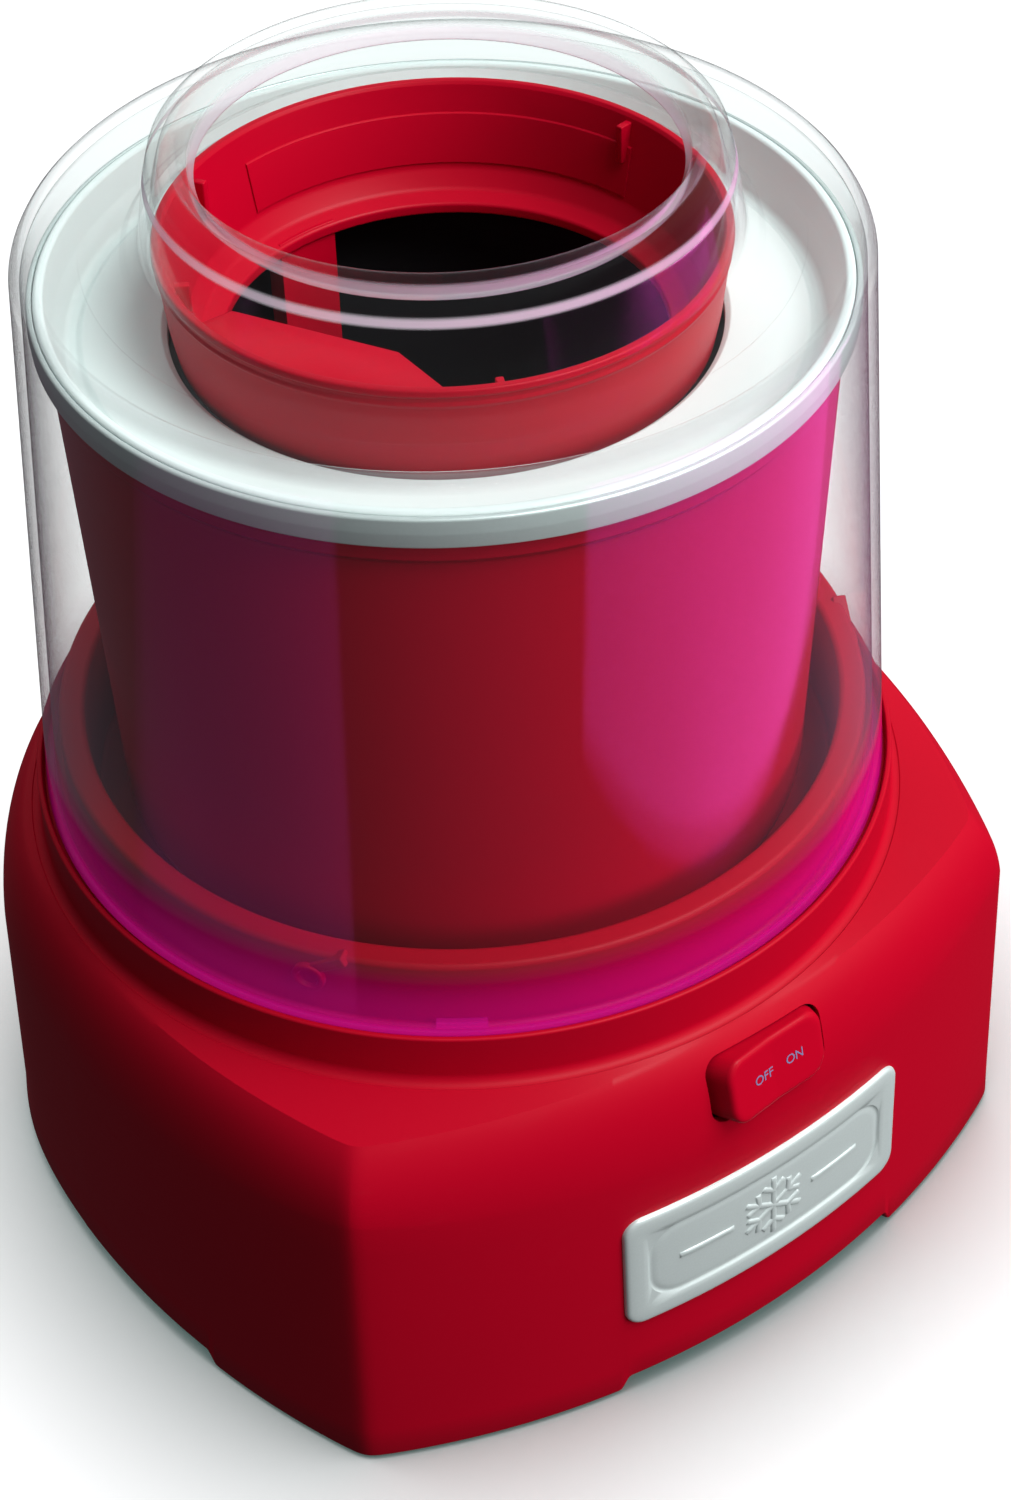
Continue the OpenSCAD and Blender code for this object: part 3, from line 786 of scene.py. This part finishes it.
class BuildBadge(Builder):
    """Build the metal plate on the front, with a raised border and a plain snowflake."""

    bl_idname = "icm.badge"
    bl_label = "Front plate"

    width = 85.0
    height = 37.4
    middle_z = 44.5

    def bend(self, shape, x, z, out):
        """A point of the plate: x across, z up from its middle, out from the wall."""
        height = self.middle_z + z
        inset = shape.draft * height / shape.shoulder - out
        reach = shape.side - inset
        across = x + shape.shift
        return across, shape.offset - sqrt(reach * reach - across * across), height

    def build(self):
        shape = BaseShape()
        steel = satin_silver("metal_plate", (0.60, 0.67, 0.66))
        # loops from the wall outwards and then in towards the panel: (inset, height out of the wall)
        steps = [(0, -1.4), (0, 0.5), (0.15, 0.95), (0.6, 1.25), (1.2, 1.36), (2.6, 1.45),
                 (4.4, 1.44), (5.6, 1.34), (6.1, 1.05), (6.35, 0.72), (6.9, 0.62), (7.4, 0.72),
                 (8, 0.86), (9, 0.9), (12, 0.92), (15, 0.93)]
        loops = []
        for inset, out in steps:
            inside = inset > 6.0
            radius = max(1.0, (9.0 if inside else 5.0) - (inset - 6.0 if inside else inset * 0.6))
            flat = round_rect(self.width - 2 * inset, self.height - 2 * inset, radius, 10)
            loops.append([self.bend(shape, x, z, out) for x, z in spread(flat)])
        plate = stacked("badge_mesh", loops, cap_last=False)
        border, panel_out = steps[-1]
        panel = self.panel(shape, self.width - 2 * border, self.height - 2 * border, panel_out)
        flake = self.snowflake(shape)
        mesh = joined("badge_whole", [plate, panel] + flake)
        piece = add_object("badge", mesh, "base", steel, 50.0)
        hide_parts("nameplate")

    def panel(self, shape, width, height, out):
        """The flat middle of the plate, as a grid."""
        columns, rows = 24, 8
        points = [self.bend(shape, width * (c / columns - 0.5), height * (r / rows - 0.5), out)
                  for r in range(rows + 1) for c in range(columns + 1)]
        return mesh_from("badge_panel", points, grid_faces(rows + 1, columns + 1, False, False))

    def snowflake(self, shape):
        """Six raised arms with two barbs each, and a plain bar on either side."""
        bars = []
        for k in range(6):
            a = radians(30 + 60 * k)
            tip = (9.0 * cos(a), 9.0 * sin(a))
            bars.append(((0, 0), tip))
            for sign in (-1, 1):
                b = a + sign * radians(55)
                root = (5.2 * cos(a), 5.2 * sin(a))
                bars.append((root, (root[0] + 3.2 * cos(b), root[1] + 3.2 * sin(b))))
        for sign in (-1, 1):
            bars.append(((sign * 13.0, 0.0), (sign * 27.0, 0.0)))
        return [self.bar(shape, start, end, k) for k, (start, end) in enumerate(bars)]

    def bar(self, shape, start, end, k):
        """A low raised bar with sloping sides from start to end."""
        run = Vector(end) - Vector(start)
        along = run.normalized()
        side = Vector((-along.y, along.x))
        loops = []
        for half, out in ((1, 0.6), (0.75, 1.1 + 0.003 * k), (0.4, 1.28 + 0.003 * k)):
            low, high = Vector(start) - along * half, Vector(end) + along * half
            steps = [low.lerp(high, i / 8) for i in range(9)]
            ring = [p + side * half for p in steps] + [p - side * half for p in reversed(steps)]
            loops.append([self.bend(shape, p.x, p.y, out) for p in ring])
        return stacked("badge_bar", loops)


class BuildRocker(Builder):
    """Build the OFF/ON rocker in the shoulder."""

    bl_idname = "icm.rocker"
    bl_label = "Rocker"

    labels = (("OFF", -3.5), ("ON", 6.4))
    label_size = 3.5

    def face(self, x):
        """Height of the rocker's face over the sloping frame, out of the base."""
        high, middle, low, run = 4.2, 1.45, 0.1, 16
        return middle + (high - middle) * -x / run if x < 0 else middle + (low - middle) * x / run

    def end_at(self, out):
        """Half length of the rocker at this height, on its arc round the pivot."""
        depth = max(0.0, SwitchFrame.pivot + out)
        return sqrt(SwitchFrame.half_w ** 2 - depth * depth)

    def build(self):
        frame_of = SwitchFrame()
        red = moulded("rocker_red", tuple(settings("icm_base").colour), 0.4)
        half_w, half_h = frame_of.half_w, frame_of.half_h
        flat = spread(round_rect(2 * half_w, 2 * half_h, frame_of.round_r, 8))
        # loops up the sides and then in over the face to its middle line: (inset, below the face)
        layers = [(0, 1.4), (0, 0.7), (0.3, 0.22), (0.9, 0)]
        layers += [(0.9 + (half_h - 0.9) * k / 9, 0.0) for k in range(1, 10)]
        loops = [self.loop(frame_of, flat, 0.0, lambda x: depth) for depth in (-4.0, -2.0)]
        loops += [self.loop(frame_of, flat, inset, lambda x: self.face(x) - below)
                  for inset, below in layers]
        mesh = stacked("rocker_mesh", loops, cap_last=False)
        mesh.transform(frame_of.matrix)
        piece = add_object("rocker", mesh, "rocker", red, 45.0)
        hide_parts("switch_rocker")
        if settings("icm_studio").show_labels:
            for word, x in self.labels:
                self.label(word, x, frame_of)

    def loop(self, frame_of, flat, inset, height):
        """One loop of the rocker: its outline drawn in by inset, at a height that depends on x."""
        half_w, half_h = frame_of.half_w, frame_of.half_h
        ring = []
        for x, z in flat:
            spot = x * (half_w - inset) / half_w
            for _ in range(5):
                out = height(spot)
                spot = x / half_w * (min(half_w, self.end_at(out)) - inset)
            ring.append((spot, -out, z * (half_h - inset) / half_h))
        return ring

    def label(self, word, x, frame_of):
        """Printed generic switch word, lying just on the face."""
        curve = bpy.data.curves.new("label_" + word.lower(), "FONT")
        curve.body = word
        curve.size = self.label_size * MM
        curve.align_x, curve.align_y = "CENTER", "CENTER"
        curve.extrude = 0.04 * MM
        text = placed("text", curve)
        bpy.context.view_layer.update()
        mesh = bpy.data.meshes.new_from_object(text.evaluated_get(bpy.context.evaluated_depsgraph_get()))
        bpy.data.objects.remove(text)
        tilt = atan2(self.face(x - 1) - self.face(x + 1), 2)
        upright = Matrix.Rotation(radians(90), 4, "X")
        lean = Matrix.Rotation(tilt, 4, "Z")
        place = Matrix.Translation((x * MM, (-self.face(x) - 0.05) * MM, 0))
        mesh.transform(frame_of.matrix @ place @ lean @ upright)
        paint = matt_plastic("label_paint", (0.16, 0.15, 0.3), 0.5)
        add_object("label_" + word.lower(), mesh, "rocker", paint)


class BuildUnderside(Builder):
    """Finish the bottom plate, feet, screws and grommet."""

    bl_idname = "icm.underside"
    bl_label = "Underside"

    def build(self):
        finish_nodes(matt_plastic("base_plate_black", (0.03, 0.03, 0.033)), "bottom_plate")
        finish_nodes(matt_plastic("switch_black", (0.03, 0.03, 0.033)), "switch_body")
        finish_nodes(rubber("foot_rubber", (0.02, 0.02, 0.02)), "rubber_feet")
        finish_nodes(brushed("screw_steel", (0.55, 0.56, 0.58), 0.3, (1, 1, 1), 500), "bottom_screws")
        gland = matt_plastic("gland_black", (0.02, 0.02, 0.022), 0.5)
        outline = rounded([(3.4, -5.4, 0.3), (7.6, -5.4, 0.6), (7.6, -3.0, 0.4), (5.9, -3.0, 0.3),
                           (5.9, 0.1, 0.2), (8.5, 0.1, 0.3), (8.2, 1.4, 0.7), (4.2, 1.4, 0.8),
                           (3.4, 0.6, 0.3)])
        mesh = revolved("gland_mesh", outline, 72)
        mesh.transform(BaseShape().cord_frame())
        piece = add_object("cord_gland", mesh, "base", gland)
        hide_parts("cord_grommet")


class BuildDrive(Builder):
    """Give the motor, gears, shafts and hub their finishes."""

    bl_idname = "icm.drive"
    bl_label = "Drive"

    def build(self):
        finish_nodes(
            brushed("turned_steel", (0.56, 0.57, 0.59), 0.22, (1, 1, 40), 90),
            "drive_shaft", "motor_shaft", "idler_axle", "retaining_clip", "gearbox_screws")
        finish_nodes(brushed("zinc_sheet", (0.58, 0.6, 0.6), 0.38, (24, 1, 1), 40),
                     "gearbox_plate", "motor_bracket")
        finish_nodes(brushed("sintered_bronze", (0.6, 0.42, 0.2), 0.45, (1, 1, 1), 900),
                     "motor_bushes", "shaft_bushes", "motor_pinion")
        finish_nodes(matt_plastic("acetal", (0.78, 0.76, 0.68), 0.4), "idler_gear", "output_gear")
        finish_nodes(laminated("core_steel", (0.2, 0.2, 0.22)), "motor_core", "motor_rotor")
        finish_nodes(windings("copper_windings", (0.55, 0.22, 0.08)), "motor_coil")
        finish_nodes(rubber("seal_rubber", (0.03, 0.03, 0.03)), "splash_seal")
        finish_nodes(moulded("hub_red", tuple(settings("icm_base").colour), 0.35), "drive_hub")


class BuildBowl(Builder):
    """Build the freezer bowl's wall, top ring, metal band and dark tub."""

    bl_idname = "icm.bowl"
    bl_label = "Freezer bowl"

    def build(self):
        s = settings("icm_bowl")
        red = moulded("bowl_red", tuple(s.colour), 0.42, 0.00002, 0.08)
        pale = moulded("pale_cap", tuple(s.cap_colour), 0.34, 0.00003, 0.1)
        silver = satin_silver("silver_band", (0.58, 0.65, 0.64))
        # Painted shade: the tub is nearly black for the shade deep inside the bowl.
        dark = painted_shade_metal("tub_metal", (0.008, 0.008, 0.009))
        rim, band = top_of("bowl_cap") / MM, reach_of("bowl_band") / MM

        shell = rounded([
            (22, 108, 0.6), (84.9, 108, 17.5), (85.2, 130, 60), (88, 234, 6),
            (88.2, 238.4, 1.2), (89.7, 240.2, 0.8), (89.7, 243.8, 0.5), (86.5, 243.8, 0.4),
            (85.8, 234, 2), (83, 126, 8), (68, 110, 4), (22, 110, 0.6)], 6)
        self.ring("bowl_wall", shell, red, "bowl_red", "bowl_shell")

        cap = rounded([
            (61.7, 236.7, 0.3), (68, 236.6, 0.3), (68, 235.4, 0.3), (85.7, 235.4, 0.3),
            (85.7, 243.9, 0.4), (89.75, 243.9, 0.3), (89.75, 251.5, 0.8), (89, rim, 1),
            (87.5, rim, 1.2), (86, 245, 3), (84.2, 238.9, 2.6), (81.8, 239, 1.6),
            (80.4, 240.1, 1.4), (63, 240, 0.8), (61.7, 239, 0.5)], 10)
        self.ring("bowl_top_ring", cap, pale, "pale_cap", "bowl_cap")

        hoop = rounded([
            (89.9, 244.4, 0.2), (band - 0.2, 244.4, 0.5), (band, 248, 4), (band - 0.3, 251.4, 0.7),
            (90, 251.6, 0.3)], 10)
        self.ring("bowl_hoop", hoop, silver, "silver_band", "bowl_band")

        tub = rounded([
            (0.01, 128), (58, 128, 12), (62.6, 233.5, 0.6), (65.4, 233.5, 0.4),
            (65.4, 235, 0.5), (61.5, 235, 0.8), (57, 129.5, 10.5), (0.01, 129.5)], 10)
        self.ring("bowl_liner", tub, dark, "aluminium_tub", "bowl_tub")

        finish_nodes(gel("freezing_gel", (0.2, 0.4, 0.65)), "bowl_coolant")
        finish_nodes(rubber("gasket_rubber", (0.03, 0.03, 0.03)), "bowl_gasket")
        finish_nodes(matt_plastic("socket_black", (0.04, 0.04, 0.045)), "bowl_socket")

    def ring(self, name, outline, material, slot, node):
        piece = add_object(name, revolved(name + "_mesh", outline, 288), "bowl", material)
        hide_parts(node)


class BuildPaddle(Builder):
    """Build the paddle's flared ring, its ribs, its scraper arms and its floor vanes."""

    bl_idname = "icm.paddle"
    bl_label = "Mixing paddle"

    # outlines of the scrapers as (radius, height, fillet), their middles and half widths in degrees
    long_arm = ((44, 131, 0.4), (50, 131.2, 1), (54.8, 136.5, 5), (54.8, 236.5, 0.3),
                (50.5, 236.5, 0.3), (50.5, 137.5, 3), (47.5, 134, 1.5), (44, 134, 0.4))
    wide_arm = ((50.5, 190, 1.2), (55, 190, 1.2), (55, 236.5, 0.3), (50.5, 236.5, 0.3))
    arms = ((97.0, 9.0, long_arm), (-97.0, 9.0, long_arm), (-137.0, 24.0, wide_arm))

    def build(self):
        s = settings("icm_bowl")
        red = moulded("paddle_red", tuple(s.paddle_colour), 0.4)
        ring = rounded([
            (49.8, 233.4, 0.5), (49.8, 236, 0.9), (54.2, 237.4, 2.4), (57, 241.5, 3),
            (60.8, 261.2, 0.6), (61.4, 262, 0.5),
            (63, 262, 0.6), (63.3, 260.6, 0.6), (62.6, 259.9, 0.3), (62.6, 259, 0.3),
            (63, 258.2, 0.5), (62.5, 257.2, 0.6), (61.2, 244, 8), (60, 237, 1.5),
            (57, 233.4, 1.5)], 10)
        meshes = [revolved("paddle_ring", ring, 288)]
        meshes += [self.arm(*arm) for arm in self.arms]
        meshes += [self.pad(), self.shelf()]
        meshes += self.vanes()
        meshes += self.ribs(s.ring_rib / MM)
        piece = add_object("paddle", joined("paddle_whole", meshes), "paddle", red)
        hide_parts("mixing_paddle")

    def arm(self, centre, half, outline):
        """A scraper that hangs from the ring, curved to the tub's wall."""
        sweep = radians(2 * half)
        return revolved("arm", rounded(outline), 24, radians(centre - half), sweep)

    def pad(self):
        """A slightly raised part of the ring's inner wall at the back."""
        outline = rounded([(56.9, 243), (59.1, 254.6, 0.3), (61, 255.4), (58.8, 242)])
        return revolved("pad", outline, 90, radians(10), radians(96))

    def shelf(self):
        """The flat head of the wide arm, which fills the front left of the ring."""
        reach = 57.8
        rim = [(reach * cos(radians(a)), reach * sin(radians(a)))
               for a in range(165, 238, 3)]
        plan = rim + [(-24.0, -36.0), (-24.6, -20.0), (-45.5, 15.0)]
        centre = (-42.0, -20.0)
        loops = []
        for inset, z in ((0.6, 236.5), (0, 237.1), (0, 248.6), (0.2, 249.2), (0.8, 249.6)):
            loops.append([(x + (centre[0] - x) * inset / 20, y + (centre[1] - y) * inset / 20, z)
                          for x, y in plan])
        return stacked("shelf", loops)

    def vanes(self):
        """Bars over the tub's floor with upright mixing fins."""
        made = [soft_block("centre", (-7, -12, 131), (7, 12, 134), 0.8)]
        for a in (97.0, -97.0):
            made.append(spun(soft_block("bar", (3, -5, 131.01), (46, 5, 133.99), 0.8), a))
            made += [spun(soft_block("fin", (r, -1.2, 131.5), (r + 10, 1.2, 160), 0.5), a)
                     for r in (18, 34)]
        return made

    def ribs(self, width):
        """Short upright ribs inside the ring."""
        low_ribs = [spun(soft_block("rib", (55.6, -width / 2, 239.0), (59.4, width / 2, 251.6), 0.4), a)
                    for a in (152, 272)]
        tabs = [spun(soft_block("tab", (57.2, -width / 2, 251.0), (61.4, width / 2, 260.4), 0.4), a)
                for a in (12, 124, -112)]
        return low_ribs + tabs


class BuildLid(Builder):
    """Build the clear lid with its pouring spout."""

    bl_idname = "icm.lid"
    bl_label = "Clear lid"

    rim = 262.0
    lip = 52.0
    tab_angles = (-124, -4, 116)
    tab_half = 3.3

    def build(self):
        s = settings("icm_lid")
        wall = s.wall / MM
        foot = reach_of("lid") / MM
        crown = top_of("lid") / MM
        tints = [tuple(tint) for tint in (s.tint, s.edge_tint, s.foot_reflection_tint)]
        clear = clear_moulding("clear_lid", *tints, self.rim * MM, self.lip * MM)
        lid = rounded([
            (foot - wall - 0.4, 115.0, 0.6), (foot, 115.0, 0.9), (foot - 0.4, 119.0, 3.0),
            (93.9, 258.4, 4), (92.6, 260.6, 1.6), (91.2, self.rim, 1.2), (89.4, self.rim, 0.9),
            (88, 260.7, 1), (79, 260.7, 0.3), (78.6, 260.3, 0.3), (70, 260.3, 0.8),
            (68.2, 261.9, 1.4), (65.7, 262.3, 2.2), (63.3, 277, 6), (61.4, 283.4, 3),
            (58, crown, 2.4), (55.8, crown - 0.7, 2), (53.4, 280.6, 3), (self.lip, 277.3, 0.5),
            (53.2, 276.9, 0.5), (55.4, 279.6, 2), (57.6, 283.3, 1), (59.4, 282.6, 1.6),
            (61.4, 276.4, 5), (63.9, 260.4, 2), (67, 258.7, 1.4), (88.8, 258.7, 1),
            (90.8, 258.9, 1.5), (91.8, 256.4, 2)], 9)
        meshes = [revolved("lid_shell", lid, 320)]
        tab = rounded([(100.6, 115.6, 0.5), (102.4, 115.6), (102.4, 117.6), (100.6, 117.6, 0.5)])
        sweep = radians(2 * self.tab_half)
        for a in self.tab_angles:
            meshes.append(revolved("tab", tab, 8, radians(a - self.tab_half), sweep))
        piece = add_object("clear_cover", joined("cover_mesh", meshes), "lid", clear, 50.0)
        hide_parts("lid")


class BuildStage(Builder):
    """Set the floor, the lights and the camera."""

    bl_idname = "icm.stage"
    bl_label = "Stage"

    eye = (-0.2732, -0.4347, 0.5798)
    target = (0.0086, -0.00565, 0.1061)

    def build(self):
        s = settings("icm_studio")
        half = s.floor_size / 2
        floor_mesh = bpy.data.meshes.new("floor_mesh")
        corners = [(-half, -half, 0), (half, -half, 0), (half, half, 0), (-half, half, 0)]
        floor_mesh.from_pydata(corners, [], [(0, 1, 2, 3)])
        floor = placed("floor", floor_mesh)
        paper = Finish("pale_floor")
        tooth = paper.noise(120, 3)
        # Painted contact shadow: ambient occlusion darkens the floor's glow to grey-green near the
        # pieces.
        painted_contact_shadow = paper.node("ShaderNodeAmbientOcclusion", {"samples": 16}, {"Distance": 0.07}, "AO")
        floor_mesh.materials.append(paper.surface(
            Base_Color=paper.mix(tooth, (0.93, 0.945, 0.94), (0.95, 0.965, 0.96)),
            Emission_Color=paper.mix(painted_contact_shadow.step(0.42, 0.97), (0.01, 0.05, 0.04), (0.9, 0.9, 0.9)),
            Emission_Strength=1.0, Roughness=0.9, Specular_IOR_Level=0.0))
        floor.visible_diffuse = False
        floor.visible_glossy = False
        floor.visible_shadow = False
        self.sky()
        lid = bpy.data.objects["clear_cover"]
        solid = [o for o in bpy.context.scene.objects if o.type == "MESH" and o not in (lid, floor)]
        lit = self.linked("lit_by_lamps", solid)
        lid_only = self.linked("lid_only", [lid])
        for name, place, size, power, pieces in (
                ("key_softbox", (0.40, -0.62, 1.42), (0.9, 0.9), 29, lit),
                ("front_fill", (0.75, -1.25, 0.50), (0.8, 0.6), 14, lit),
                ("lid_fill", (-0.30, -0.90, 1.00), (0.5, 0.5), 14, lid_only),
                ("back_fill", (0.45, 1.50, 0.80), (0.8, 0.8), 16, lit)):
            lamp = self.area(name, place, size, power)
            lamp.visible_glossy = name == "key_softbox"
            lamp.light_linking.receiver_collection = pieces
        for name, azimuth, start, low, high, glow in (
                ("left_card", 207.5, (-0.071, -0.066, 0.210), (-0.80, -0.40), (0, 0.16), 1.7),
                ("right_card", 305, (-0.015, -0.096, 0.200), (-0.41, -0.05), (0.80, 0.25), 8.5)):
            self.card(name, azimuth, start, low, high, glow, lid_only)
        self.camera(s)

    def linked(self, name, pieces):
        """A collection that only says which pieces a lamp lights."""
        group = bpy.data.collections.new(name)
        for piece in pieces:
            group.objects.link(piece)
        return group

    def card(self, name, azimuth, start, low, high, glow, lit_only):
        """A light card that shows only as a reflection in the lid: its plane faces the point start
        of the lid from this azimuth, and low and high are its corners in that plane."""
        a, e, away = radians(azimuth), radians(-33), 0.65
        ahead = Vector((cos(a) * cos(e), sin(a) * cos(e), sin(e)))
        across = Vector((-sin(a), cos(a), 0))
        upward = across.cross(ahead) * -1
        middle = Vector(start) + ahead * away
        middle += across * (low[0] + high[0]) / 2 + upward * (low[1] + high[1]) / 2
        size = (high[0] - low[0], high[1] - low[1])
        power = glow * size[0] * size[1]
        holder = self.area(name, middle, size, power, (1.0, 0.10, 0.72), middle - ahead)
        holder.data.spread = radians(110)
        holder.light_linking.receiver_collection = lit_only

    def sky(self):
        """Soft light from above and little from below the floor; what the camera sees is pale."""
        world = bpy.data.worlds.new("studio")
        bpy.context.scene.world = world
        world.use_nodes = True
        g = Graph(world.node_tree)
        direction = g.node("ShaderNodeTexCoord", {}, {}, "Generated")
        height = g.node("ShaderNodeSeparateXYZ", {}, {0: direction}, "Z")
        side = g.node("ShaderNodeSeparateXYZ", {}, {0: direction}, "X")
        above = g.mix(side.step(-0.8, 0.5), (0.13, 0.14, 0.15), (0.42, 0.44, 0.45))
        colour = g.mix(height.step(-0.02, 0.02), (0.05, 0.045, 0.05), above)
        seen = g.node("ShaderNodeLightPath", {}, {}, "Is Camera Ray")
        shown = g.mix(seen, colour, (0.93, 0.94, 0.94))
        g.end("ShaderNodeOutputWorld", g.node("ShaderNodeBackground", {}, {0: shown, 1: 1.0}))

    def area(self, name, place, size, power, colour=(1, 1, 1), aim=(0, 0, 0.12)):
        lamp = bpy.data.lights.new(name, "AREA")
        lamp.shape, lamp.energy, lamp.color = "RECTANGLE", power, colour
        lamp.size, lamp.size_y = size
        holder = placed(name, lamp)
        holder.location = place
        toward = Vector(aim) - Vector(place)
        holder.rotation_euler = toward.to_track_quat("-Z", "Y").to_euler()
        holder.visible_camera = False
        return holder

    def camera(self, s):
        lens = bpy.data.cameras.new("studio_camera")
        lens.lens, lens.sensor_width, lens.sensor_fit = s.lens, 36.0, "AUTO"
        lens.clip_start, lens.clip_end = 0.01, 20.0
        camera = placed("studio_camera", lens)
        aim = (Vector(self.target) - Vector(self.eye)).to_track_quat("-Z", "Y").to_matrix().to_4x4()
        camera.matrix_world = Matrix.Translation(self.eye) @ aim @ Matrix.Rotation(s.roll, 4, "Z")
        bpy.context.scene.camera = camera
        bpy.context.scene.view_settings.view_transform = "Standard"
        bpy.context.scene.cycles.transparent_max_bounces = 32


def finish_nodes(material, *names):
    """Gives CAD nodes that stay in view their own finish."""
    for name in names:
        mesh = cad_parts[name].data
        mesh.materials.clear()
        mesh.materials.append(material)


class ICM_PT_panel(bpy.types.Panel):
    """Lists the operators and their settings."""

    bl_label = "Ice Cream Maker"
    bl_idname = "ICM_PT_panel"
    bl_space_type = "VIEW_3D"
    bl_region_type = "UI"
    bl_category = "Ice Cream Maker"

    def draw(self, context):
        for name, group in GROUPS.items():
            box = self.layout.box()
            for key in group.__annotations__:
                box.prop(getattr(context.scene, name), key)
        for step in STEPS:
            self.layout.operator(step.bl_idname)


STEPS = (BuildHousing, BuildBadge, BuildRocker, BuildUnderside, BuildDrive, BuildBowl, BuildPaddle,
         BuildLid, BuildStage)
CLASSES = (*GROUPS.values(), *STEPS, ICM_PT_panel)


def register():
    for cls in CLASSES:
        bpy.utils.register_class(cls)
    for name, group in GROUPS.items():
        setattr(bpy.types.Scene, name, PointerProperty(type=group))


def unregister():
    for name in GROUPS:
        delattr(bpy.types.Scene, name)
    for cls in reversed(CLASSES):
        bpy.utils.unregister_class(cls)


def main():
    register()
    for step in STEPS:
        group, name = step.bl_idname.split(".")
        getattr(getattr(bpy.ops, group), name)()


if __name__ == "__main__":
    main()
